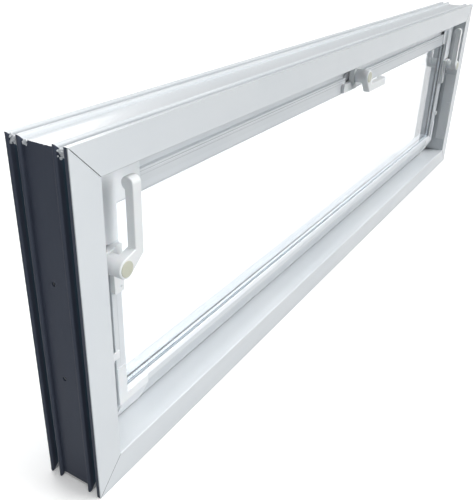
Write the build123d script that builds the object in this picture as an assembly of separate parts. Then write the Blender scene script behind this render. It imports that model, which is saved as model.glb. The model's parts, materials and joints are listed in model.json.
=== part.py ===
from build123d import *
import os

# Hopper window: a vinyl frame with a bottom-hinged sash that tilts into the room.
# Millimetres. Bench coordinates: X to the right from the frame's left outer edge,
# Y is depth from the room face to the outdoor face, Z is up from the bottom outer edge.
# "Offset" is the distance in from the frame's outer edge, the same on all four sides.
# Everything is moved to the row's origin on export: centre of the sill's underside.

# ---- driving dimensions -------------------------------------------------
FRAME_W = 1490.0
FRAME_H = 434.0
FRAME_D = 82.5
FIN = 5.0                      # height of the outer fins above the web
FIN_T = 5.4
FIN_TIP_R = 2.7                # the fins' tips are fully round
FIN_DEPTHS = (18.6, 65.0)      # middles of the two inner fins
CHANNEL_FLOOR = 11.0           # offset of the floor of the channels between inner and outer fins
FACE = 40.0                    # offset of the frame's inner face
WALL = 2.4
CHANNEL_T = 2.0                # thickness of the dark outer channel on each jamb
FACE_SKIN = 1.2                # white lip of the jamb in front of the dark channel
FACE_ROUND = 1.5
SMALL_ROUND = 0.8
MIDDLE_WALL = (28.8, 31.2)     # depths of the wall between the two main chambers
STOP_DEPTH = 67.5              # front of the outdoor stop
STOP_OFFSET = 72.0
SILL_DROP = 5.5                # fall of the sill's top towards the outdoor stop

SASH_EDGE = 44.0               # offset of the sash's outer edge
SASH_BACK = 63.0
SASH_RECESS = 36.0             # depth of the recessed flange
SASH_FRONT = 30.0              # depth of the raised front
RAISED_SIDE = 78.0             # offset where the raised front starts on the stiles
RAISED_TOP = 65.5              # and on the top rail
LIP_SIDE = 74.6                # offset of the lip along the stiles' raised front
LIP_T = 1.4
NOTCH = (31.0, 47.0)           # cut in the top rail's front for its cam, left and right of the spindle
BEAD_OFFSET = 82.0
BEAD_FLAT = 90.0
SIGHT = 94.0                   # offset of the visible glass edge
BEAD_DEPTH = 35.0
BEAD_GROOVE = (32.0, 34.0, 79.6)  # the bead's groove: depths of its sides, offset of its bottom
RAIL_BOTTOM = 37.5             # offset of the bottom rail's underside
RAIL_NOSE = ((30.0, 76.0), (37.2, 59.0), (49.0, RAIL_BOTTOM))  # top, middle and foot of its front
BOTTOM_DROP = 4.0              # the sash's bottom side sits this much lower than its offsets

GLASS_EDGE = 86.0
GASKET_T = 0.8
PANE_T = 3.0
GLASS_GAP = 8.0
REAR_LEG = BEAD_DEPTH + 2 * GASKET_T + 2 * PANE_T + GLASS_GAP
SPACER = (88.5, 95.5)          # offsets of the spacer bar's outer and inner faces
BLOCK_LENGTH = 100.0

HINGE = (53.0, 45.0)           # depth and height of the sash's pivot axis
PIN_R = 4.0
PIN_INNER = 56.0
PIN_OUTER = 35.0
RUN_FIT = 0.06

SPINDLE_OFFSET = 65.0
SPINDLE_Z = 283.5
SPINDLE_R = 4.0
LEVER_FRONT = -3.6             # depth of the lever's front, ahead of the frame's face
LEVER_T = 11.5
HUB_R = 12.0
HUB_BACK = 20.7
BAR = (15.0, 29.0)             # across, from the spindle axis
BAR_END = 98.0
BULB_R = 8.0                   # round free end of the lever
CAP_R = 9.4
CAM_R = 6.5
CAM_REACH = 28.0
CAM_DEPTH = (31.5, 34.5)
BASE_FRONT = 21.0
LEVER_ROUND = 1.5

INSTALL_HOLE_R = 2.6
INSTALL_DEPTH = 44.0
INSTALL_STAGGER = 2.0          # the right jamb's holes sit this much higher than the left's
INSTALL_Z = (156.0, 278.0)

PLATE_T = 1.2                  # keepers and jamb tracks
RECEIVER_T = 2.0
KEEPER_Z = (256.0, 300.0)
KEEPER_SCREW_Z = (259.5, 296.5)
TRACK_Z = (72.0, 254.0)
TAB_Z = (172.0, 178.0)
BASE_LEG_X = 84.5
BASE_LEG_FRONT = 24.0
BASE_LEG_Z = 237.0
BASE_SCREW_Z = (244.0, 258.0)
SCREW_R = 1.6
SCREW_HEAD_R = 3.2
SCREW_HEAD_T = 1.8
SCREW_L = 6.0
COVER_T = 1.2                  # plastic covers over the sash's corners
COVER_END = 130.5              # along the rails
COVER_SIDE_END = 134.0         # along the stiles
TOP_COVER_EDGE = 47.0          # offset where the top covers close onto the recessed flange
WEEP_X = 260.0                 # drain covers, from the mid-width
WEEP_Z = 12.0
WEEP_SIZE = (46.0, 16.0, 4.0)
SEAL_CLEAR = 0.5

MID_X = FRAME_W / 2
MID_Z = FRAME_H / 2
BIG = 2000.0
TO_ORIGIN = Pos(-MID_X, -FRAME_D / 2, -FIN)


# ---- helpers ------------------------------------------------------------
def save(name, shape):
    """Writes one node, moved from bench coordinates to the row's origin."""
    export_step(TO_ORIGIN * shape, "parts/" + name + ".step")


def block(x0, x1, y0, y1, z0, z1):
    """A box from its lowest to its highest corner."""
    centre = Pos((x0 + x1) / 2, (y0 + y1) / 2, (z0 + z1) / 2)
    return centre * Box(x1 - x0, y1 - y0, z1 - z0)


def section(points):
    """A closed cross-section from (depth, offset) points."""
    return Polygon(*points, align=None)


def strip(d0, d1, o0, o1):
    """A rectangular piece of a cross-section."""
    return section([(d0, o0), (d1, o0), (d1, o1), (d0, o1)])


def rod(start, direction, length, radius):
    """A cylinder from a point along X, Y or Z."""
    turn = {"x": Rot(0, 90, 0), "y": Rot(-90, 0, 0), "z": Rot(0, 0, 0)}[direction]
    base = Cylinder(radius, length, align=(Align.CENTER, Align.CENTER, Align.MIN))
    return Pos(*start) * turn * base


def to_top(shape):
    return mirror(shape, about=Plane.XY.offset(MID_Z))


def to_right(shape):
    return mirror(shape, about=Plane.YZ.offset(MID_X))


def along_bottom(profile):
    """Runs a cross-section along the bottom with 45 degree mitres."""
    bar = extrude(Plane.YZ * profile, amount=FRAME_W)
    wedge = Polygon((0, 0), (FRAME_W, 0), (FRAME_W - MID_Z, MID_Z), (MID_Z, MID_Z), align=None)
    return bar & (Pos(0, BIG / 2, 0) * extrude(Plane.XZ * wedge, amount=BIG))


def along_left(profile, foot=0.0):
    """Runs a cross-section up the left side with 45 degree mitres; foot lowers its bottom end."""
    upright = Plane(origin=(0, 0, 0), x_dir=(0, 1, 0), z_dir=(0, 0, -1))
    bar = extrude(upright * profile, amount=-FRAME_H)
    reach = MID_Z - 1
    top = FRAME_H - reach
    wedge = Polygon((0, -foot), (reach, reach - foot), (reach, top), (0, FRAME_H), align=None)
    return bar & (Pos(0, BIG / 2, 0) * extrude(Plane.XZ * wedge, amount=BIG))


def ring(o_out, o_in, d0, d1):
    """A rectangular ring between two offsets."""
    outer = block(o_out, FRAME_W - o_out, d0, d1, o_out, FRAME_H - o_out)
    inner = block(o_in, FRAME_W - o_in, d0 - 1, d1 + 1, o_in, FRAME_H - o_in)
    return outer - inner


def sash_ring(o_out, o_in, d0, d1):
    """A rectangular ring around the glass, with its bottom side dropped."""
    outer = block(o_out, FRAME_W - o_out, d0, d1, o_out - BOTTOM_DROP, FRAME_H - o_out)
    inner = block(o_in, FRAME_W - o_in, d0 - 1, d1 + 1, o_in - BOTTOM_DROP, FRAME_H - o_in)
    return outer - inner


def drop(shape):
    return Pos(0, 0, -BOTTOM_DROP) * shape


def soften(sketch, corners, radius):
    """Rounds the cross-section's corners that lie at the given (depth, offset) points."""
    near = []
    for corner in sketch.vertices():
        if any(abs(corner.X - d) + abs(corner.Y - o) < 0.01 for d, o in corners):
            near.append(corner)
    return fillet(near, radius)


def fins():
    """The four outer fins, each with a round bead along its tip."""
    front, back = FIN_DEPTHS
    half = FIN_T / 2
    shape = Sketch()
    for depth in (FIN_TIP_R, front, back, FRAME_D - FIN_TIP_R):
        shape += strip(depth - half, depth + half, FIN_TIP_R, CHANNEL_FLOOR)
        shape += Pos(depth, FIN_TIP_R) * Circle(FIN_TIP_R)
    return shape


def channels():
    """The two narrow grooves between the outer and inner fins."""
    front, back = FIN_DEPTHS
    half = FIN_T / 2
    shape = strip(FIN_TIP_R + half, front - half, -1, CHANNEL_FLOOR)
    return shape + strip(back + half, FRAME_D - FIN_TIP_R - half, -1, CHANNEL_FLOOR)


# ---- frame --------------------------------------------------------------
def frame_section(inner_front, inner_back):
    """Full frame profile: four fins, two channels, four chambers and the outdoor stop."""
    body = section([
        (0, FIN), (FRAME_D, FIN), (FRAME_D, STOP_OFFSET), (STOP_DEPTH, STOP_OFFSET),
        (STOP_DEPTH, inner_back), (0, inner_front),
    ])
    body = soften(body, [(0, inner_front)], FACE_ROUND)
    body = soften(body, [(FRAME_D, STOP_OFFSET), (STOP_DEPTH, STOP_OFFSET)], SMALL_ROUND)
    body += strip(0, FIN_TIP_R + FIN_T / 2, 0, CHANNEL_FLOOR)
    body += fins()
    body -= channels()
    low = FIN + WALL
    deep = CHANNEL_FLOOR + WALL
    ceiling = inner_back - WALL
    back_wall = FIN_DEPTHS[1] - FIN_T / 2 + WALL / 4
    body -= strip(WALL, MIDDLE_WALL[0], deep, ceiling)
    body -= strip(FIN_DEPTHS[0] + FIN_T / 2 + WALL, MIDDLE_WALL[0], low, deep)
    body -= strip(MIDDLE_WALL[1], back_wall, low, ceiling)
    body -= strip(STOP_DEPTH + WALL - 1.2, FRAME_D - WALL, deep, STOP_OFFSET - WALL)
    return body


def dark_layer():
    """Space taken by the dark outer channel: the fins, the web and the channels' lining."""
    web = strip(FACE_SKIN, FRAME_D, -1, FIN + CHANNEL_T)
    lining = CHANNEL_FLOOR + CHANNEL_T
    front_end = FIN_DEPTHS[0] + FIN_T / 2
    back_start = FIN_DEPTHS[1] - FIN_T / 2
    return web + strip(FACE_SKIN, front_end, -1, lining) + strip(back_start, FRAME_D, -1, lining)


def jamb_section():
    """Jamb profile without the outer channel, which is a piece of its own."""
    return frame_section(FACE, FACE) - dark_layer()


def channel_section():
    """Dark outer channel of a jamb: web, fins and lining of the two grooves."""
    return frame_section(FACE, FACE) & dark_layer()


def install_holes():
    """Screw holes through a jamb, for fixing the window in its wall opening."""
    holes = Part()
    for height in INSTALL_Z:
        holes += rod((-1, INSTALL_DEPTH, height), "x", FACE + 2, INSTALL_HOLE_R)
    return holes


def cam_slot():
    """Pocket in the frame's inner wall that a left-hand cam turns into."""
    return block(30, FACE + 3, 29.5, 36.5, SPINDLE_Z - 21, SPINDLE_Z + 9)


def on_top(shape):
    """Turns a left-side piece about the spindle so that it sits on the top rail."""
    at_spindle = Pos(-SPINDLE_OFFSET, 0, -SPINDLE_Z) * shape
    return Pos(MID_X, 0, FRAME_H - SPINDLE_OFFSET) * Rot(0, 90, 0) * at_spindle


def screw_blank():
    """A countersunk screw along +Z without its driver recess, its head's face at Z = 0."""
    head_cone = Pos(0, 0, SCREW_HEAD_T / 2) * Cone(SCREW_HEAD_R, SCREW_R, SCREW_HEAD_T)
    shank = Pos(0, 0, SCREW_HEAD_T + SCREW_L / 2) * Cylinder(SCREW_R, SCREW_L)
    return head_cone + shank


def screw_places():
    """The screws of the left side, as (point, turn) pairs: keeper, receiver and base."""
    into_jamb = Rot(0, -90, 0)
    into_sash = Rot(-90, 0, 0)
    keeper = [((FACE + PLATE_T, 34, z), into_jamb) for z in KEEPER_SCREW_Z]
    receiver = [((FACE + RECEIVER_T, y, HINGE[1] + 14), into_jamb) for y in (47, 59)]
    base = [((BASE_LEG_X, BASE_LEG_FRONT, z), into_sash) for z in BASE_SCREW_Z]
    return keeper, receiver, base


def screws(places):
    group = Part()
    recess = Box(3.6, 0.8, 1.8) + Box(0.8, 3.6, 1.8)
    for point, turn in places:
        group += Pos(*point) * turn * (screw_blank() - recess)
    return group


def screw_holes(places):
    group = Part()
    for point, turn in places:
        group += Pos(*point) * turn * screw_blank()
    return group


# ---- sash ---------------------------------------------------------------
def sash_section(raised):
    """Profile of a stile or of the top rail; raised is where its front steps up."""
    body = section([
        (SASH_RECESS, SASH_EDGE), (SASH_BACK, SASH_EDGE), (SASH_BACK, SIGHT),
        (REAR_LEG, SIGHT), (REAR_LEG, BEAD_OFFSET), (SASH_FRONT, BEAD_OFFSET),
        (SASH_FRONT, raised), (SASH_RECESS, raised),
    ])
    body = soften(body, [(SASH_FRONT, raised), (SASH_RECESS, SASH_EDGE)], SMALL_ROUND)
    body = soften(body, [(SASH_BACK, SASH_EDGE), (SASH_BACK, SIGHT)], SMALL_ROUND)
    low = SASH_EDGE + WALL
    body -= strip(SASH_RECESS + WALL, REAR_LEG - WALL, low, BEAD_GROOVE[2] - 2)
    body -= strip(REAR_LEG, SASH_BACK - WALL, low, SIGHT - WALL)
    body -= strip(BEAD_GROOVE[0], BEAD_GROOVE[1], BEAD_GROOVE[2], BEAD_OFFSET)
    return body


def bottom_rail_section():
    """Profile of the bottom rail before its drop; its front slopes back to the sill."""
    top, middle, foot = [(depth, offset + BOTTOM_DROP) for depth, offset in RAIL_NOSE]
    outline = Polyline(
        foot, (SASH_BACK, foot[1]), (SASH_BACK, SIGHT), (REAR_LEG, SIGHT),
        (REAR_LEG, BEAD_OFFSET), (SASH_FRONT, BEAD_OFFSET), top,
    )
    body = make_face(outline + ThreePointArc(top, middle, foot))
    body -= strip(REAR_LEG + WALL, SASH_BACK - WALL, foot[1] + 4, SIGHT - WALL)
    body -= strip(BEAD_GROOVE[0], BEAD_GROOVE[1], BEAD_GROOVE[2], BEAD_OFFSET)
    return body


def ahead_of_nose():
    """The space in front of the bottom rail's sloping front, to trim the stiles' feet."""
    top, middle, foot = RAIL_NOSE
    outline = Polyline(foot, (foot[0], 0), (0, 0), (0, top[1]), top)
    space = make_face(outline + ThreePointArc(top, middle, foot))
    return extrude(Plane.YZ * space, amount=COVER_END)


def bead_section():
    """Snap-in glazing bead with a chamfer towards the glass and a foot in its groove."""
    body = section([
        (SASH_FRONT, BEAD_OFFSET), (BEAD_DEPTH, BEAD_OFFSET), (BEAD_DEPTH, SIGHT),
        (32.5, SIGHT), (SASH_FRONT, BEAD_FLAT),
    ])
    body = soften(body, [(SASH_FRONT, BEAD_FLAT), (32.5, SIGHT)], SMALL_ROUND)
    depth_in, depth_out, bottom = BEAD_GROOVE
    return body + strip(depth_in + 0.1, depth_out - 0.1, bottom + 0.2, BEAD_OFFSET)


def corner_cover_flat():
    """L-shaped cover over a corner's mitre, on the raised front."""
    low, high = RAISED_SIDE, BEAD_FLAT
    foot = block(low, COVER_END, SASH_FRONT - COVER_T, SASH_FRONT, low, high)
    side = block(LIP_SIDE, high, SASH_FRONT - COVER_T, SASH_FRONT, low, COVER_SIDE_END)
    return foot + side


def bottom_corner_cover():
    """Cover over a bottom corner, which also wraps the bottom rail's sloping front."""
    top, middle, foot = RAIL_NOSE
    lift = [(depth - COVER_T, offset) for depth, offset in (top, middle, foot)]
    inner = ThreePointArc(top, middle, foot)
    outer = ThreePointArc(*lift)
    shell = make_face(inner + outer + Line(top, lift[0]) + Line(foot, lift[2]))
    skirt = extrude(Plane.YZ * shell, amount=COVER_END)
    skirt &= block(RAISED_SIDE + COVER_T, COVER_END, 0, FRAME_D, 0, FRAME_H)
    return drop(corner_cover_flat()) + skirt


def top_corner_cover():
    """Cover over a top corner, bridging the recessed flange to a rib near its edge."""
    front = SASH_FRONT - COVER_T
    edge = TOP_COVER_EDGE
    along_rail = block(edge, COVER_END, front, SASH_FRONT, edge, BEAD_FLAT)
    along_stile = block(edge, BEAD_FLAT, front, SASH_FRONT, edge, COVER_SIDE_END)
    rail_rib = block(edge, COVER_END, SASH_FRONT, SASH_RECESS, edge, edge + COVER_T)
    stile_rib = block(edge, edge + COVER_T, SASH_FRONT, SASH_RECESS, edge, COVER_SIDE_END)
    return along_rail + along_stile + rail_rib + stile_rib


# ---- lever, cam and base, in the left side's place -----------------------
def lever_bar():
    """The lever's bar: a side profile with a round bulb, rounded along both sides."""
    bar_in, bar_out = BAR
    back = LEVER_FRONT + LEVER_T
    profile = Polygon((LEVER_FRONT, 8), (back, 8), (back, 84), (LEVER_FRONT, 90), align=None)
    profile += Pos(LEVER_FRONT + BULB_R, BAR_END - BULB_R) * Circle(BULB_R)
    bar = Pos(bar_in, 0, 0) * extrude(Plane.YZ * profile, amount=bar_out - bar_in)
    edges = bar.edges()
    inner_side = edges.filter_by_position(Axis.X, bar_in, bar_in)
    outer_side = edges.filter_by_position(Axis.X, bar_out, bar_out)
    return fillet(inner_side + outer_side, LEVER_ROUND)


def lever():
    """Cam lever: a hub, an elbow and a bar whose free end curls back in a round bulb."""
    back = LEVER_FRONT + LEVER_T
    corner = Pos(BAR[1] - 7, 12) * Circle(7)
    inside = Pos(BAR[0] + 3, 14) * Circle(3)
    outline = make_hull((Circle(HUB_R) + corner + inside).edges())
    elbow = Pos(0, LEVER_FRONT, 0) * extrude(Plane.XZ * outline, amount=-LEVER_T)
    elbow = fillet(elbow.faces().sort_by(Axis.Y)[0].edges(), LEVER_ROUND)
    hub = rod((0, LEVER_FRONT + 4, 0), "y", HUB_BACK - LEVER_FRONT - 4, HUB_R)
    body = elbow + hub + lever_bar()
    body -= rod((0, LEVER_FRONT - 1, 0), "y", 3.0, CAP_R + 0.1)
    body -= rod((0, back - 2, 0), "y", BIG, SPINDLE_R + 0.02)
    return place_at_spindle(body)


def lever_cap():
    disc = rod((0, LEVER_FRONT - 0.6, 0), "y", 2.6, CAP_R)
    disc = fillet(disc.faces().sort_by(Axis.Y)[0].edges(), 0.5)
    return place_at_spindle(disc)


def cam():
    """Spindle and cam plate; the cam points away from the lever."""
    start = LEVER_FRONT + LEVER_T - 1.9
    shaft = rod((0, start, 0), "y", CAM_DEPTH[0] + 0.1 - start, SPINDLE_R)
    tip = Pos(0, CAM_R - CAM_REACH) * Circle(CAM_R)
    outline = make_hull((Circle(CAM_R + 1) + tip).edges())
    plate = Pos(0, CAM_DEPTH[0], 0) * extrude(Plane.XZ * outline, amount=CAM_DEPTH[0] - CAM_DEPTH[1])
    return place_at_spindle(shaft + plate)


def place_at_spindle(shape):
    return Pos(SPINDLE_OFFSET, 0, SPINDLE_Z) * shape


def lever_base():
    """Hollow base under the hub, open towards the frame, with a leg on the raised front."""
    edge = RAISED_SIDE
    box = block(52, edge, BASE_FRONT, SASH_RECESS, SPINDLE_Z - 14, SPINDLE_Z + 14)
    box = fillet(box.edges().filter_by(Axis.Y), 3)
    leg = block(edge - 4, BEAD_FLAT, BASE_LEG_FRONT, SASH_FRONT, BASE_LEG_Z, SPINDLE_Z + 14)
    leg = fillet(leg.edges().filter_by(Axis.Y), 2)
    body = box + leg
    body -= block(50, edge - WALL, 30.4, SASH_RECESS + 1, SPINDLE_Z - 15, SPINDLE_Z + 11.6)
    body -= rod((SPINDLE_OFFSET, BASE_FRONT - 1, SPINDLE_Z), "y", 20, SPINDLE_R + RUN_FIT)
    return body


# ---- hardware on the frame ----------------------------------------------
def keeper():
    plate = block(FACE, FACE + PLATE_T, 27, 41, *KEEPER_Z)
    plate = fillet(plate.edges().filter_by(Axis.X), 2)
    return plate - cam_slot()


def jamb_track():
    """Thin cover strip on the jamb's inner face, with a small stop tab."""
    plate = block(FACE, FACE + PLATE_T, 2.5, 26, *TRACK_Z)
    plate = fillet(plate.edges().filter_by(Axis.X), 2)
    return plate + block(FACE, FACE + 2.6, 2.5, 12, *TAB_Z)


def receiver():
    """Plate and bush that carry the sash's pivot pin."""
    depth, height = HINGE
    plate = block(FACE, FACE + RECEIVER_T, depth - 10.5, depth + 10.5, height - 6, height + 20)
    plate = fillet(plate.edges().filter_by(Axis.X), 2)
    bush = rod((PIN_OUTER - 1, depth, height), "x", FACE + 1 - PIN_OUTER, 5.9)
    return plate + bush - rod((0, depth, height), "x", 60, PIN_R + RUN_FIT)


def pivot_pin():
    """Headed pin pressed into the sash's bottom corner."""
    depth, height = HINGE
    pin = rod((PIN_OUTER, depth, height), "x", PIN_INNER - PIN_OUTER, PIN_R)
    return chamfer(pin.faces().sort_by(Axis.X)[0].edges(), 0.6)


def weep_cover():
    """Hood over a drain opening in the sill's outdoor face, open at the bottom."""
    length, height, out = WEEP_SIZE
    wall = 1.6
    low = MID_X + WEEP_X - length / 2
    high = low + length
    top = WEEP_Z + height
    shell = block(low, high, FRAME_D, FRAME_D + out, WEEP_Z, top)
    shell = fillet(shell.edges().filter_by(Axis.Y), 3)
    hollow = block(low + wall, high - wall, FRAME_D - 1, FRAME_D + out - 1.4, WEEP_Z - 1, top - wall)
    return shell - hollow


def build_frame():
    keeper_places, receiver_places, _ = screw_places()
    jamb_holes = screw_holes(keeper_places) + screw_holes(receiver_places)
    pivot_hole = rod((PIN_OUTER - 2, *HINGE), "x", 8, 6.0)
    head = to_top(along_bottom(frame_section(FACE, FACE)))
    head = head - on_top(cam_slot()) - on_top(screw_holes(keeper_places))
    sill = along_bottom(frame_section(FACE, FACE - SILL_DROP))
    sill = sill - pivot_hole - to_right(pivot_hole)
    jamb = along_left(jamb_section()) - cam_slot() - pivot_hole - jamb_holes
    channel = along_left(channel_section())
    left_holes = install_holes()
    right_holes = Pos(0, 0, INSTALL_STAGGER) * left_holes
    left_keeper = keeper() - screw_holes(keeper_places)
    left_receiver = receiver() - screw_holes(receiver_places)
    left_track = jamb_track()
    keeper_screws = screws(keeper_places)
    receiver_screws = screws(receiver_places)
    save("head", head)
    save("sill", sill)
    save("left_jamb", jamb - left_holes)
    save("right_jamb", to_right(jamb - right_holes))
    save("left_outer_channel", channel - left_holes)
    save("right_outer_channel", to_right(channel - right_holes))
    save("left_keeper", left_keeper)
    save("right_keeper", to_right(left_keeper))
    save("top_keeper", on_top(left_keeper))
    save("left_jamb_track", left_track)
    save("right_jamb_track", to_right(left_track))
    save("left_pivot_receiver", left_receiver)
    save("right_pivot_receiver", to_right(left_receiver))
    save("keeper_screws", keeper_screws + to_right(keeper_screws) + on_top(keeper_screws))
    save("receiver_screws", receiver_screws + to_right(receiver_screws))
    seal = ring(FACE + 6, STOP_OFFSET - 4, SASH_BACK + SEAL_CLEAR, STOP_DEPTH)
    above = block(0, FRAME_W, 0, FRAME_D, STOP_OFFSET, FRAME_H)
    save("frame_seal", seal & above)
    sill_seal = block(FACE + 6, FRAME_W - FACE - 6, STOP_DEPTH - 1.2, STOP_DEPTH, 50, 68)
    save("sill_seal", sill_seal)
    right_cover = weep_cover()
    save("weep_covers", right_cover + to_right(right_cover))


def build_sash():
    _, _, base_places = screw_places()
    base_holes = screw_holes(base_places)
    pin_hole = rod((0, *HINGE), "x", PIN_INNER, PIN_R)
    top_rail = to_top(along_bottom(sash_section(RAISED_TOP)))
    notch = block(MID_X - NOTCH[0], MID_X + NOTCH[1], SASH_FRONT - 1, SASH_RECESS,
                  FRAME_H - RAISED_SIDE, FRAME_H - RAISED_TOP)
    top_rail = top_rail - notch - on_top(base_holes)
    within = block(SASH_EDGE, FRAME_W - SASH_EDGE, 0, FRAME_D, 0, FRAME_H)
    bottom_rail = drop(along_bottom(bottom_rail_section())) & within
    bottom_rail = bottom_rail - pin_hole - to_right(pin_hole)
    lip = strip(SASH_FRONT, SASH_FRONT + LIP_T, LIP_SIDE, RAISED_SIDE + 1)
    stile = along_left(sash_section(RAISED_SIDE) + lip, BOTTOM_DROP)
    stile -= block(LIP_SIDE - 1, RAISED_SIDE, 0, SASH_RECESS, SPINDLE_Z - 14.3, SPINDLE_Z + 14.3)
    left_stile = stile - ahead_of_nose() - pin_hole - base_holes
    save("top_rail", top_rail)
    save("bottom_rail", bottom_rail)
    save("left_stile", left_stile)
    save("right_stile", to_right(left_stile))
    cross_bead = along_bottom(bead_section())
    left_bead = along_left(bead_section(), BOTTOM_DROP) - base_holes
    save("top_bead", to_top(cross_bead) - on_top(base_holes))
    save("bottom_bead", drop(cross_bead))
    save("left_bead", left_bead)
    save("right_bead", to_right(left_bead))
    low_cover = bottom_corner_cover()
    high_cover = to_top(top_corner_cover())
    save("bottom_left_corner_cover", low_cover)
    save("bottom_right_corner_cover", to_right(low_cover))
    save("top_left_corner_cover", high_cover)
    save("top_right_corner_cover", to_right(high_cover))
    pin = pivot_pin()
    save("left_pivot_pin", pin)
    save("right_pivot_pin", to_right(pin))


def build_glazing():
    depth = BEAD_DEPTH
    save("inner_glazing_gasket", sash_ring(GLASS_EDGE + 1, SIGHT - 0.5, depth, depth + GASKET_T))
    depth += GASKET_T
    pane = block(GLASS_EDGE, FRAME_W - GLASS_EDGE, depth, depth + PANE_T,
                 GLASS_EDGE - BOTTOM_DROP, FRAME_H - GLASS_EDGE)
    save("inner_pane", pane)
    depth += PANE_T
    save("edge_sealant", sash_ring(GLASS_EDGE, SPACER[0], depth, depth + GLASS_GAP))
    save("spacer_bar", sash_ring(SPACER[0], SPACER[1], depth, depth + GLASS_GAP))
    save("outer_pane", Pos(0, PANE_T + GLASS_GAP, 0) * pane)
    depth += GLASS_GAP + PANE_T
    save("outer_glazing_tape", sash_ring(GLASS_EDGE + 1, SIGHT - 0.5, depth, depth + GASKET_T))
    blocks = Part()
    for centre in (FRAME_W / 4, FRAME_W * 3 / 4):
        blocks += block(centre - BLOCK_LENGTH / 2, centre + BLOCK_LENGTH / 2,
                        BEAD_DEPTH + 1, REAR_LEG - 1, BEAD_OFFSET, GLASS_EDGE)
    save("setting_blocks", drop(blocks))


def build_levers():
    _, _, base_places = screw_places()
    base = lever_base() - screw_holes(base_places)
    base_screws = screws(base_places)
    pieces = {"lever_base": base, "lever": lever(), "lever_cap": lever_cap(), "cam": cam()}
    for name, shape in pieces.items():
        save("left_" + name, shape)
        save("right_" + name, to_right(shape))
        save("top_" + name, on_top(shape))
    save("lever_base_screws", base_screws + to_right(base_screws) + on_top(base_screws))


os.makedirs("parts", exist_ok=True)
build_frame()
build_sash()
build_glazing()
build_levers()
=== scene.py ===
import json
import math
import random

import bmesh
import bpy
from mathutils import Matrix, Vector


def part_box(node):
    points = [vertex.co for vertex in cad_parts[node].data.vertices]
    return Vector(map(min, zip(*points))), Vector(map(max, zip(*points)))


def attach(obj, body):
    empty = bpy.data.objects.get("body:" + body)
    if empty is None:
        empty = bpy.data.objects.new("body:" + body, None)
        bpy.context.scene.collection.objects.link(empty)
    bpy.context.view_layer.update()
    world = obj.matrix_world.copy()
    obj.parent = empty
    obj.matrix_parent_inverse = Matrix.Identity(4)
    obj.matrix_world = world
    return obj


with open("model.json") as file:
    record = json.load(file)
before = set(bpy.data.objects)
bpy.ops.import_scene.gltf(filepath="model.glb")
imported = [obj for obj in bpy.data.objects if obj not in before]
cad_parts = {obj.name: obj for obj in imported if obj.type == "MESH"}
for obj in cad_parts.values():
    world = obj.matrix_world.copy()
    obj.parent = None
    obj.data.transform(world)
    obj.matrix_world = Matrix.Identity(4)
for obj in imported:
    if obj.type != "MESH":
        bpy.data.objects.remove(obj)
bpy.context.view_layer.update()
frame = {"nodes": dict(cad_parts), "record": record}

# A white vinyl hopper window with three cam levers, in the row's frame: metres, X to the
# right, -Y towards the room, Z up, origin under the sill. Details are placed in millimetres
# from the frame's left, room-side and bottom outer edges.

MM = 0.001


# ---- places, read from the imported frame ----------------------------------
SILL_LOW, SILL_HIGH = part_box("sill")
SPACER_LOW, SPACER_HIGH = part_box("spacer_bar")
RAIL_LOW, RAIL_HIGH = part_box("top_rail")

LEFT, RIGHT = SILL_LOW.x, SILL_HIGH.x
BOTTOM, TOP = SILL_LOW.z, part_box("head")[1].z
ROOM, OUTDOOR = SILL_LOW.y, SILL_HIGH.y

# ---- the same in millimetres, and places along the profiles ---------------
W, H, DEPTH = (RIGHT - LEFT) / MM, (TOP - BOTTOM) / MM, (OUTDOOR - ROOM) / MM
SASH_FRONT, SASH_BACK = (RAIL_LOW.y - ROOM) / MM, (RAIL_HIGH.y - ROOM) / MM
COVER_END = (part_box("top_left_corner_cover")[1].x - LEFT) / MM
COVER_TOP = (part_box("bottom_left_corner_cover")[1].z - BOTTOM) / MM
BASE_FOOT = (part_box("left_lever_base")[0].z - BOTTOM) / MM
FACE_INNER = 39.8              # end of the mitres on the room face, in from the outer edge
STOP_INNER = 71.8              # and on the outdoor face
SASH_OUTER, SASH_INNER = 47.0, 93.6
SASH_DROP = 4.0                # the sash's bottom side sits this much lower
NOTCH_LEFT, NOTCH_RIGHT = 31.5, 47.5   # gap in the top rail's front, from the mid-width
BEAD_JOINT = 82.0              # joint between a stile and its bead
BOTTOM_JOINT = 77.0
SPACER_T = 7.0 * MM            # height of the spacer above the pane's edge


# ---- small makers ----------------------------------------------------------
def link(name, mesh):
    piece = bpy.data.objects.new(name, mesh)
    bpy.context.scene.collection.objects.link(piece)
    return piece


def mesh_piece(name, bm, material, body):
    """Turns a bmesh into a piece that rides on a body."""
    bmesh.ops.recalc_face_normals(bm, faces=bm.faces)
    mesh = bpy.data.meshes.new(name)
    bm.to_mesh(mesh)
    bm.free()
    piece = link(name, mesh)
    mesh.materials.append(material)
    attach(piece, body)
    return piece


def shade_smooth(piece, angle=math.radians(35)):
    for face in piece.data.polygons:
        face.use_smooth = True
    piece.data.set_sharp_from_angle(angle=angle)


# ---- materials -------------------------------------------------------------
def new_material(name):
    material = bpy.data.materials.new(name)
    material.use_nodes = True
    tree = material.node_tree
    return material, tree.nodes, tree.links, tree.nodes["Principled BSDF"]


def noise(nodes, links, vector, scale, detail=4.0, rough=0.5):
    node = nodes.new("ShaderNodeTexNoise")
    node.inputs["Scale"].default_value = scale
    node.inputs["Detail"].default_value = detail
    node.inputs["Roughness"].default_value = rough
    links.new(vector, node.inputs["Vector"])
    return node.outputs["Fac"]


def stretched(nodes, links, stretch):
    """Object coordinates scaled along each axis, for grain that runs along a bar."""
    coord = nodes.new("ShaderNodeTexCoord")
    mapping = nodes.new("ShaderNodeMapping")
    mapping.inputs["Scale"].default_value = stretch
    links.new(coord.outputs["Object"], mapping.inputs["Vector"])
    return mapping.outputs["Vector"]


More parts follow.
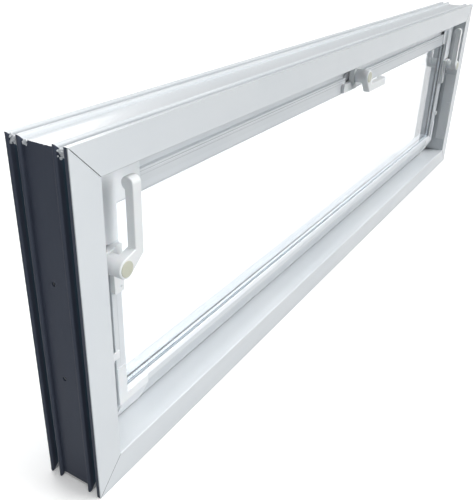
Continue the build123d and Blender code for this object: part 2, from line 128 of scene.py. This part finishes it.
def ramp(nodes, links, factor, stops):
    node = nodes.new("ShaderNodeValToRGB")
    elements = node.color_ramp.elements
    while len(elements) < len(stops):
        elements.new(0.5)
    for element, (place, color) in zip(elements, stops):
        element.position = place
        element.color = (*color, 1.0)
    links.new(factor, node.inputs["Fac"])
    return node.outputs["Color"]


def to_range(nodes, links, factor, low, high):
    node = nodes.new("ShaderNodeMapRange")
    node.inputs["To Min"].default_value = low
    node.inputs["To Max"].default_value = high
    links.new(factor, node.inputs["Value"])
    return node.outputs["Result"]


def bump(nodes, links, height, strength, distance, shader, after=None):
    node = nodes.new("ShaderNodeBump")
    node.inputs["Strength"].default_value = strength
    node.inputs["Distance"].default_value = distance
    links.new(height, node.inputs["Height"])
    if after:
        links.new(after.outputs["Normal"], node.inputs["Normal"])
    links.new(node.outputs["Normal"], shader.inputs["Normal"])
    return node


def vinyl(name, stretch, light, shade, rough=(0.30, 0.42), coat=0.12):
    """Extruded vinyl: faint die lines along the bar, soft colour drift and a satin skin."""
    material, nodes, links, shader = new_material(name)
    along = stretched(nodes, links, stretch)
    plain = stretched(nodes, links, EVEN)
    die_lines = noise(nodes, links, along, 900, detail=2)
    drift = noise(nodes, links, plain, 9, detail=3)
    speck = noise(nodes, links, plain, 1500, detail=1)
    links.new(ramp(nodes, links, drift, [(0.3, shade), (0.7, light)]), shader.inputs["Base Color"])
    links.new(to_range(nodes, links, die_lines, *rough), shader.inputs["Roughness"])
    first = bump(nodes, links, die_lines, 0.12, 0.00006, shader)
    bump(nodes, links, speck, 0.05, 0.00003, shader, after=first)
    shader.inputs["Coat Weight"].default_value = coat
    shader.inputs["Coat Roughness"].default_value = 0.25
    shader.inputs["IOR"].default_value = 1.52
    return material


def moulded(name, light, shade, rough=(0.28, 0.4), grain=1400, depth=0.00004):
    """Injection-moulded plastic with a fine spark-eroded grain."""
    material, nodes, links, shader = new_material(name)
    plain = stretched(nodes, links, EVEN)
    pebbles = noise(nodes, links, plain, grain, detail=3, rough=0.6)
    drift = noise(nodes, links, plain, 30, detail=2)
    links.new(ramp(nodes, links, drift, [(0.3, shade), (0.7, light)]), shader.inputs["Base Color"])
    links.new(to_range(nodes, links, pebbles, *rough), shader.inputs["Roughness"])
    bump(nodes, links, pebbles, 0.2, depth, shader)
    shader.inputs["Subsurface Weight"].default_value = 0.05
    shader.inputs["Subsurface Scale"].default_value = 0.002
    return material


def metal(name, light, shade, stretch, rough=(0.25, 0.45)):
    """Zinc-plated steel with brushed streaks."""
    material, nodes, links, shader = new_material(name)
    along = stretched(nodes, links, stretch)
    streaks = noise(nodes, links, along, 700, detail=4)
    cloud = noise(nodes, links, stretched(nodes, links, EVEN), 120, detail=3)
    links.new(ramp(nodes, links, cloud, [(0.3, shade), (0.7, light)]), shader.inputs["Base Color"])
    links.new(to_range(nodes, links, streaks, *rough), shader.inputs["Roughness"])
    bump(nodes, links, streaks, 0.15, 0.00005, shader)
    shader.inputs["Metallic"].default_value = 1.0
    return material


def rubber(name, light, shade):
    material, nodes, links, shader = new_material(name)
    plain = stretched(nodes, links, EVEN)
    dust = noise(nodes, links, plain, 260, detail=5, rough=0.65)
    links.new(ramp(nodes, links, dust, [(0.35, shade), (0.75, light)]), shader.inputs["Base Color"])
    links.new(to_range(nodes, links, dust, 0.62, 0.85), shader.inputs["Roughness"])
    bump(nodes, links, dust, 0.25, 0.00008, shader)
    return material


def charcoal_vinyl():
    """Dark through-coloured vinyl: matte, with handling scuffs and pale dust in streaks, and a bluish tint
    blended into its deep channels as a painted reflection.
    """
    material, nodes, links, shader = new_material("charcoal_vinyl")
    upright = stretched(nodes, links, (1.0, 1.0, 0.05))
    plain = stretched(nodes, links, EVEN)
    die_lines = noise(nodes, links, upright, 700, detail=3)
    scuffs = noise(nodes, links, stretched(nodes, links, (1.0, 1.0, 0.3)), 55, detail=8, rough=0.72)
    grain = noise(nodes, links, plain, 1800, detail=1)
    color = ramp(nodes, links, scuffs, [
        (0.25, (0.058, 0.068, 0.098)), (0.62, (0.068, 0.080, 0.114)), (0.80, (0.092, 0.103, 0.135)),
    ])
    # Painted reflection: from 5.5 to 10.5 mm in from the outer side, the colour blends to a bluish tint
    # that fills the channel floors.
    split = nodes.new("ShaderNodeSeparateXYZ")
    links.new(plain, split.inputs["Vector"])
    inset = nodes.new("ShaderNodeMath")
    inset.operation = "ABSOLUTE"
    links.new(split.outputs["X"], inset.inputs[0])
    channel_reflection_mask = nodes.new("ShaderNodeMapRange")
    channel_reflection_mask.inputs["From Min"].default_value = RIGHT - 5.5 * MM
    channel_reflection_mask.inputs["From Max"].default_value = RIGHT - 10.5 * MM
    links.new(inset.outputs["Value"], channel_reflection_mask.inputs["Value"])
    channel_reflection_tint = nodes.new("ShaderNodeMix")
    channel_reflection_tint.data_type = "RGBA"
    links.new(channel_reflection_mask.outputs["Result"], channel_reflection_tint.inputs["Factor"])
    links.new(color, channel_reflection_tint.inputs[6])
    channel_reflection_tint.inputs[7].default_value = (0.055, 0.115, 0.160, 1.0)
    links.new(channel_reflection_tint.outputs[2], shader.inputs["Base Color"])
    links.new(to_range(nodes, links, scuffs, 0.42, 0.62), shader.inputs["Roughness"])
    shader.inputs["Specular IOR Level"].default_value = 0.2
    first = bump(nodes, links, die_lines, 0.2, 0.00008, shader)
    bump(nodes, links, grain, 0.1, 0.00003, shader, after=first)
    return material


def clear_glass():
    """Float glass: clear, with the faintest smudges in its gloss."""
    material, nodes, links, shader = new_material("clear_glass")
    plain = stretched(nodes, links, EVEN)
    smudges = noise(nodes, links, plain, 14, detail=6, rough=0.6)
    links.new(to_range(nodes, links, smudges, 0.0, 0.03), shader.inputs["Roughness"])
    links.new(
        ramp(nodes, links, smudges, [(0.3, (0.965, 0.978, 0.99)), (0.7, (0.98, 0.99, 1.0))]),
        shader.inputs["Base Color"],
    )
    shader.inputs["Transmission Weight"].default_value = 1.0
    shader.inputs["Specular IOR Level"].default_value = 0.15
    shader.inputs["IOR"].default_value = 1.45
    see_through = nodes.new("ShaderNodeBsdfTransparent")
    see_through.inputs["Color"].default_value = (0.96, 0.975, 0.985, 1.0)
    path = nodes.new("ShaderNodeLightPath")
    mix = nodes.new("ShaderNodeMixShader")
    links.new(path.outputs["Is Shadow Ray"], mix.inputs["Fac"])
    links.new(shader.outputs["BSDF"], mix.inputs[1])
    links.new(see_through.outputs["BSDF"], mix.inputs[2])
    links.new(mix.outputs["Shader"], nodes["Material Output"].inputs["Surface"])
    return material


WHITE = (0.72, 0.745, 0.765)
WHITE_SHADE = (0.69, 0.72, 0.745)
ACROSS = (0.02, 1.0, 1.0)
UPRIGHT = (1.0, 1.0, 0.02)
EVEN = (1.0, 1.0, 1.0)
BEAD_WHITE = (0.74, 0.765, 0.79)
BEAD_SHADE = (0.71, 0.74, 0.77)

white_across = vinyl("white_vinyl_across", ACROSS, WHITE, WHITE_SHADE)
white_upright = vinyl("white_vinyl_upright", UPRIGHT, WHITE, WHITE_SHADE)
bead_across = vinyl("bead_vinyl_across", ACROSS, BEAD_WHITE, BEAD_SHADE)
bead_upright = vinyl("bead_vinyl_upright", UPRIGHT, BEAD_WHITE, BEAD_SHADE)
# A lighter white than the frame. On the weld beads and the rail's lip it is a painted highlight; the weld
# flash crumbs are white vinyl.
weld_white_and_highlight = vinyl("weld_vinyl_and_highlight", EVEN, (0.84, 0.86, 0.88), (0.78, 0.80, 0.83), (0.4, 0.6))
# Painted shade: the dark of the thin gaps along the mitres.
mitre_gap_shade = vinyl("mitre_gap_shade", EVEN, (0.13, 0.14, 0.15), (0.08, 0.088, 0.095), (0.5, 0.7), 0.0)
# Painted shade of the joint gaps between the sash's parts.
joint_shade_grey = vinyl("joint_shade_grey", EVEN, (0.42, 0.44, 0.46), (0.36, 0.38, 0.40), (0.5, 0.7), 0.0)
butyl = rubber("butyl", (0.016, 0.02, 0.026), (0.008, 0.010, 0.013))
# Painted shade for the breather holes: the dark that a hole's depth would hold.
hole_shade = rubber("hole_shade", (0.16, 0.17, 0.19), (0.10, 0.11, 0.12))
charcoal = charcoal_vinyl()
white_plastic = moulded("white_plastic", (0.86, 0.875, 0.89), (0.83, 0.85, 0.87))
lever_plastic = moulded("lever_plastic", (0.85, 0.865, 0.87), (0.82, 0.835, 0.84), rough=(0.22, 0.36))
cap_plastic = moulded("cap_plastic", (0.60, 0.60, 0.50), (0.56, 0.56, 0.46), rough=(0.4, 0.55))
receiver_plastic = moulded("receiver_plastic", (0.72, 0.74, 0.75), (0.68, 0.70, 0.71))
zinc = metal("zinc", (0.58, 0.59, 0.60), (0.48, 0.49, 0.51), (1.0, 1.0, 0.1))
steel = metal("steel", (0.66, 0.66, 0.66), (0.55, 0.55, 0.56), (1.0, 0.1, 1.0))
seal_rubber = rubber("seal_rubber", (0.05, 0.05, 0.055), (0.02, 0.02, 0.022))
gasket_rubber = rubber("gasket_rubber", (0.075, 0.08, 0.09), (0.035, 0.037, 0.042))
sealant = rubber("sealant", (0.05, 0.05, 0.05), (0.02, 0.02, 0.02))
block_rubber = rubber("block_rubber", (0.08, 0.08, 0.085), (0.04, 0.04, 0.043))
spacer_metal = moulded("spacer_metal", (0.52, 0.57, 0.62), (0.47, 0.52, 0.57), rough=(0.35, 0.5), grain=900)
clear = clear_glass()

CAD_MATERIALS = {
    "head": white_across, "sill": white_across, "top_rail": white_across, "bottom_rail": white_across,
    "left_jamb": white_upright, "right_jamb": white_upright,
    "left_stile": white_upright, "right_stile": white_upright,
    "top_bead": bead_across, "bottom_bead": bead_across,
    "left_bead": bead_upright, "right_bead": bead_upright, "lever_base_screws": white_plastic,
}
SLOT_MATERIALS = {
    "charcoal_vinyl": charcoal, "white_plastic": white_plastic, "lever_plastic": lever_plastic,
    "cap_plastic": cap_plastic, "zinc": zinc, "steel": steel, "receiver_plastic": receiver_plastic,
    "seal_rubber": seal_rubber, "gasket_rubber": gasket_rubber, "sealant": sealant,
    "block_rubber": block_rubber, "spacer_metal": spacer_metal, "clear_glass": clear,
}


def dress_cad_nodes():
    slots = {entry["node"]: entry["material_slot"] for entry in frame["record"]["subparts"]}
    for name, node in frame["nodes"].items():
        material = CAD_MATERIALS.get(name) or SLOT_MATERIALS[slots[name]]
        node.data.materials.clear()
        node.data.materials.append(material)


# ---- camera, light and floor ------------------------------------------------
def make_camera():
    """The viewing angle: from the left, in front of and above the window."""
    data = bpy.data.cameras.new("camera")
    data.lens = 46.05
    data.sensor_width = 36.0
    camera = bpy.data.objects.new("camera", data)
    bpy.context.scene.collection.objects.link(camera)
    right = Vector((0.5212, -0.8529, 0.0307))
    up = Vector((0.3787, 0.2633, 0.8873))
    back = Vector((-0.7648, -0.4508, 0.4602))
    turn = Matrix((right, up, back)).transposed().to_4x4()
    camera.matrix_world = Matrix.Translation((-1.1304, -0.4437, 0.6121)) @ turn
    bpy.context.scene.camera = camera


def sun_light(name, towards, strength, spread):
    """A very soft sun, which lights the floor evenly; towards points at the light."""
    data = bpy.data.lights.new(name, "SUN")
    data.energy = strength
    data.angle = math.radians(spread)
    light = bpy.data.objects.new(name, data)
    light.rotation_euler = Vector(towards).to_track_quat("Z", "Y").to_euler()
    bpy.context.scene.collection.objects.link(light)


def fill_light(name, place, target, size, power):
    """A square soft light aimed at a point."""
    data = bpy.data.lights.new(name, "AREA")
    data.shape = "SQUARE"
    data.size = size
    data.energy = power
    light = bpy.data.objects.new(name, data)
    light.location = place
    light.rotation_euler = (Vector(place) - Vector(target)).to_track_quat("Z", "Y").to_euler()
    bpy.context.scene.collection.objects.link(light)


def on_bounces(nodes, links):
    """1 for light that bounced off a surface, 0 for what is seen directly or through glass."""
    path = nodes.new("ShaderNodeLightPath")
    mirrored_only = nodes.new("ShaderNodeMath")
    mirrored_only.operation = "SUBTRACT"
    mirrored_only.use_clamp = True
    links.new(path.outputs["Is Glossy Ray"], mirrored_only.inputs[0])
    links.new(path.outputs["Is Transmission Ray"], mirrored_only.inputs[1])
    either = nodes.new("ShaderNodeMath")
    either.operation = "MAXIMUM"
    links.new(path.outputs["Is Diffuse Ray"], either.inputs[0])
    links.new(mirrored_only.outputs["Value"], either.inputs[1])
    return either.outputs["Value"]


def make_studio():
    """Pale surroundings that give little light themselves, soft suns and a fill on the left."""
    world = bpy.data.worlds.new("studio")
    world.use_nodes = True
    nodes, links = world.node_tree.nodes, world.node_tree.links
    dim = nodes["Background"]
    dim.inputs["Color"].default_value = (0.86, 0.94, 1.0, 1.0)
    dim.inputs["Strength"].default_value = 0.07
    pale = nodes.new("ShaderNodeBackground")
    pale.inputs["Color"].default_value = (1.0, 1.0, 1.0, 1.0)
    mix = nodes.new("ShaderNodeMixShader")
    links.new(on_bounces(nodes, links), mix.inputs["Fac"])
    links.new(pale.outputs["Background"], mix.inputs[1])
    links.new(dim.outputs["Background"], mix.inputs[2])
    links.new(mix.outputs["Shader"], nodes["World Output"].inputs["Surface"])
    bpy.context.scene.world = world
    sun_light("front_soft", (0.42, -0.82, 0.34), 2.1, 40)
    sun_light("overhead_soft", (0.14, -0.12, 0.98), 2.1, 60)
    sun_light("back_soft", (0.40, 0.82, 0.34), 1.8, 40)
    fill_light("left_fill", (-1.30, -0.50, 0.42), (-0.70, 0.0, 0.25), 0.35, 1.8)
    bpy.context.scene.view_settings.view_transform = "Standard"
    bpy.context.scene.view_settings.look = "None"


def make_floor():
    """A pale floor, whose bounce onto the window is dimmed as on a lit table."""
    material, nodes, links, shader = new_material("floor")
    plain = stretched(nodes, links, EVEN)
    cloud = noise(nodes, links, plain, 1.2, detail=2)
    links.new(ramp(nodes, links, cloud, [(0.2, (0.95, 0.95, 0.95)), (0.8, (0.97, 0.97, 0.97))]),
              shader.inputs["Base Color"])
    shader.inputs["Roughness"].default_value = 0.9
    shader.inputs["Specular IOR Level"].default_value = 0.2
    shader.inputs["Emission Color"].default_value = (1.0, 1.0, 1.0, 1.0)
    shader.inputs["Emission Strength"].default_value = 0.14
    dim = nodes.new("ShaderNodeBsdfDiffuse")
    dim.inputs["Color"].default_value = (0.050, 0.070, 0.080, 1.0)
    path = nodes.new("ShaderNodeLightPath")
    mix = nodes.new("ShaderNodeMixShader")
    links.new(path.outputs["Is Diffuse Ray"], mix.inputs["Fac"])
    links.new(shader.outputs["BSDF"], mix.inputs[1])
    links.new(dim.outputs["BSDF"], mix.inputs[2])
    links.new(mix.outputs["Shader"], nodes["Material Output"].inputs["Surface"])
    bm = bmesh.new()
    half = 30.0
    level = BOTTOM - 0.5 * MM
    corners = ((-half, -half), (half, -half), (half, half), (-half, half))
    bm.faces.new([bm.verts.new((x, y, level)) for x, y in corners])
    mesh = bpy.data.meshes.new("floor")
    bm.to_mesh(mesh)
    bm.free()
    floor = link("floor", mesh)
    mesh.materials.append(material)


# ---- details added over the CAD ----------------------------------------------
def at(x, y, z):
    """Millimetres from the frame's left, room-side and bottom outer edges."""
    return Vector((LEFT + x * MM, ROOM + y * MM, BOTTOM + z * MM))


def ridge(bm, start, end, normal, width, height, rng, step=4.0, wobble=0.12):
    """A rounded, slightly uneven ridge laid on a surface from start to end."""
    along = (end - start).normalized()
    side = along.cross(normal).normalized()
    outline = ((-1, 0.0), (-0.72, 0.62), (-0.3, 0.95), (0.3, 0.95), (0.72, 0.62), (1, 0.0))
    count = max(2, int((end - start).length / (step * MM)))
    rings = []
    for index in range(count + 1):
        middle = start.lerp(end, index / count)
        thin = 0.35 if index in (0, count) else 1.0
        half = width * MM / 2 * thin * (1 + wobble * rng.uniform(-1, 1))
        tall = height * MM * thin * (1 + wobble * rng.uniform(-1, 1))
        middle += side * (wobble * width * MM * 0.3 * rng.uniform(-1, 1))
        rings.append([
            bm.verts.new(middle + side * (half * across) + normal * (tall * up))
            for across, up in outline
        ])
    for one, two in zip(rings, rings[1:]):
        for index in range(len(one) - 1):
            bm.faces.new((one[index], one[index + 1], two[index + 1], two[index]))
        bm.faces.new((one[-1], one[0], two[0], two[-1]))
    bm.faces.new(rings[0])
    bm.faces.new(list(reversed(rings[-1])))


def crumb(bm, centre, radius, rng):
    """An uneven crumb of weld flash."""
    squash = Matrix.Diagonal((rng.uniform(0.6, 1.2), rng.uniform(0.6, 1.2), rng.uniform(0.5, 1.0), 1.0))
    angle = rng.uniform(0, 6.28)
    axis = Vector((rng.random(), rng.random(), 1)).normalized()
    turn = Matrix.Rotation(angle, 4, axis)
    made = bmesh.ops.create_icosphere(
        bm, subdivisions=2, radius=radius, matrix=Matrix.Translation(centre) @ turn @ squash)
    for vert in made["verts"]:
        vert.co += (vert.co - centre) * rng.uniform(-0.22, 0.22)


def mirrored(x, z):
    """A place near the bottom left corner, at all four corners."""
    return ((x, z), (W - x, z), (x, H - z), (W - x, H - z))


def mitre_lines():
    """Weld seams across the frame's mitres: a dark line of painted shade along the mitre's thin gap, beside
    a low bead in a lighter white that paints its highlight.
    """
    rng = random.Random(5)
    bead, gap_shade = bmesh.new(), bmesh.new()
    edge = 0.9
    for depth, facing, inner in ((0.0, -1, FACE_INNER), (DEPTH, 1, STOP_INNER)):
        normal = Vector((0, facing, 0))
        for (x0, z0), (x1, z1) in zip(mirrored(edge, edge), mirrored(inner, inner)):
            start, end = at(x0, depth, z0), at(x1, depth, z1)
            ridge(gap_shade, start, end, normal, 1.0, 0.05, rng)
            shift = Vector((-1 if x0 < W / 2 else 1, 0, -1 if z0 > H / 2 else 1)) * 0.63 * MM
            ridge(bead, start + shift, end + shift, normal, 0.7, 0.16, rng)
    smooth = math.radians(60)
    shade_smooth(mesh_piece("frame_weld_beads", bead, weld_white_and_highlight, "frame"), smooth)
    shade_smooth(mesh_piece("frame_mitre_shade_lines", gap_shade, mitre_gap_shade, "frame"), smooth)


def weld_flash():
    """Crumbs of squeezed-out vinyl at the top corners, in the grooves on the frame's outer side."""
    rng = random.Random(11)
    bm = bmesh.new()
    clusters = (
        # depth span, inset span, distance down from the corner, count, crumb size
        ((70.0, 77.0), (1.5, 6.0), (3.0, 12.0), 26, (0.8, 1.9)),
        ((57.0, 61.5), (4.0, 5.0), (4.5, 10.0), 18, (0.8, 1.7)),
        ((9.0, 16.0), (1.5, 6.0), (4.0, 13.0), 26, (0.8, 1.9)),
        ((22.0, 55.0), (5.0, 5.3), (4.9, 5.6), 14, (0.3, 0.6)),
    )
    for depths, insets, downs, count, sizes in clusters:
        for right in (False, True):
            for _ in range(count):
                inset, down = rng.uniform(*insets), rng.uniform(*downs)
                x = W - inset if right else inset
                crumb(bm, at(x, rng.uniform(*depths), H - down), rng.uniform(*sizes) * MM, rng)
    shade_smooth(mesh_piece("frame_weld_flash", bm, weld_white_and_highlight, "frame"), math.radians(50))


def sash_back_seams():
    """Weld seams across the sash's mitres on the outdoor side."""
    rng = random.Random(23)
    bm = bmesh.new()
    outdoors = Vector((0, 1, 0))
    ends = zip(mirrored(SASH_OUTER, SASH_OUTER), mirrored(SASH_INNER, SASH_INNER))
    for (x0, z0), (x1, z1) in ends:
        drop = SASH_DROP if z0 < H / 2 else 0.0
        ridge(bm, at(x0, SASH_BACK, z0 - drop), at(x1, SASH_BACK, z1 - drop), outdoors, 0.9, 0.18, rng)
    shade_smooth(mesh_piece("sash_weld_beads", bm, weld_white_and_highlight, "sash"), math.radians(60))


def rail_grooves():
    """The joint lines along the top rail and beads: fine grey lines of painted shade in the joints, with a
    lip in lighter white as a painted highlight.
    """
    rng = random.Random(31)
    dark, lip = bmesh.new(), bmesh.new()
    room = Vector((0, -1, 0))
    lines = (
        # piece, distance down from the head's top, width, height
        (dark, 68.8, 0.9, 0.04),
        (lip, 70.0, 1.2, 0.35),
        (dark, 73.2, 0.5, 0.04),
    )
    for x0, x1 in ((COVER_END, W / 2 - NOTCH_LEFT), (W / 2 + NOTCH_RIGHT, W - COVER_END)):
        for bm, down, width, height in lines:
            z = H - down
            ridge(bm, at(x0, SASH_FRONT, z), at(x1, SASH_FRONT, z), room, width, height, rng, 60, 0.03)
    start = at(COVER_END, SASH_FRONT, BOTTOM_JOINT)
    end = at(W - COVER_END, SASH_FRONT, BOTTOM_JOINT)
    ridge(dark, start, end, room, 0.3, 0.04, rng, 60, 0.03)
    for x in (BEAD_JOINT, W - BEAD_JOINT):
        start = at(x, SASH_FRONT, COVER_TOP + 1.0)
        end = at(x, SASH_FRONT, BASE_FOOT - 1.0)
        ridge(dark, start, end, room, 0.3, 0.04, rng, 30, 0.03)
    # Grey painted shade along the joints, and a painted highlight on the lip.
    mesh_piece("sash_joint_shade_lines", dark, joint_shade_grey, "sash")
    mesh_piece("sash_joint_lip_highlight", lip, weld_white_and_highlight, "sash")


def breather_hole(bm, centre, normal, across):
    """A small dark hexagon that lies just over a surface: painted shade standing in for a hole's depth."""
    radius, lift = 0.8 * MM, 0.04 * MM
    other = normal.cross(across)
    corners = []
    for index in range(6):
        angle = index * math.pi / 3
        spoke = across * math.cos(angle) + other * math.sin(angle)
        corners.append(bm.verts.new(centre + normal * lift + spoke * radius))
    bm.faces.new(corners)


def spacer_dots():
    """Two rows of breather holes in the spacer's four glass-side faces, drawn as dark hexagons of painted
    shade.
    """
    bm = bmesh.new()
    left, right = SPACER_LOW.x + SPACER_T, SPACER_HIGH.x - SPACER_T
    bottom, top = SPACER_LOW.z + SPACER_T, SPACER_HIGH.z - SPACER_T
    width = SPACER_HIGH.y - SPACER_LOW.y
    pitch, margin = 5.2 * MM, 2.0 * MM
    for row, share in enumerate((0.30, 0.62)):
        y = SPACER_LOW.y + width * share
        start = margin + pitch / 2 * row
        for z, facing in ((bottom, 1), (top, -1)):
            x = left + start
            while x < right - margin:
                breather_hole(bm, Vector((x, y, z)), Vector((0, 0, facing)), Vector((1, 0, 0)))
                x += pitch
        for x, facing in ((left, 1), (right, -1)):
            z = bottom + start
            while z < top - margin:
                breather_hole(bm, Vector((x, y, z)), Vector((facing, 0, 0)), Vector((0, 1, 0)))
                z += pitch
    mesh_piece("spacer_breather_holes", bm, hole_shade, "sash")


def butyl_lines():
    """The dark butyl that seals the spacer to each pane, seen as a line round the glass."""
    rng = random.Random(41)
    bm = bmesh.new()
    x0, x1 = SPACER_LOW.x + SPACER_T, SPACER_HIGH.x - SPACER_T
    z0, z1 = SPACER_LOW.z + SPACER_T, SPACER_HIGH.z - SPACER_T
    inward = (Vector((0, 0, 1)), Vector((-1, 0, 0)), Vector((0, 0, -1)), Vector((1, 0, 0)))
    for y, width in ((SPACER_LOW.y + 0.6 * MM, 1.0), (SPACER_HIGH.y - 1.4 * MM, 2.6)):
        corners = [Vector((x, y, z)) for x, z in ((x0, z0), (x1, z0), (x1, z1), (x0, z1))]
        for index, normal in enumerate(inward):
            ridge(bm, corners[index], corners[(index + 1) % 4], normal, width, 0.35, rng, 12, 0.1)
    shade_smooth(mesh_piece("glass_butyl_lines", bm, butyl, "sash"), math.radians(60))


def rounded_block(bm, low, high, radius):
    """A box with rounded edges between two corners."""
    size = high - low
    made = bmesh.ops.create_cube(
        bm, size=1.0, matrix=Matrix.Translation((low + high) / 2) @ Matrix.Diagonal((*size, 1.0)))
    edges = list({edge for vert in made["verts"] for edge in vert.link_edges})
    bmesh.ops.bevel(bm, geom=edges, offset=radius * MM, segments=3, profile=0.6, affect="EDGES")


def stile_clips():
    """Small moulded clips that bridge the gap beside each stile."""
    bm = bmesh.new()
    reach, middle = 14.0, 151.0
    for x0 in (66.0, W - 66.0 - reach):
        rounded_block(bm, at(x0, 28.2, middle - 5.5), at(x0 + reach, 30.4, middle + 5.5), 0.8)
        rounded_block(bm, at(x0, 29.0, middle - 3.5), at(x0 + 3.0, 35.9, middle + 3.5), 0.7)
    shade_smooth(mesh_piece("stile_clips", bm, white_plastic, "sash"))


butyl_lines()
stile_clips()
mitre_lines()
weld_flash()
sash_back_seams()
rail_grooves()
spacer_dots()
dress_cad_nodes()
make_camera()
make_studio()
make_floor()
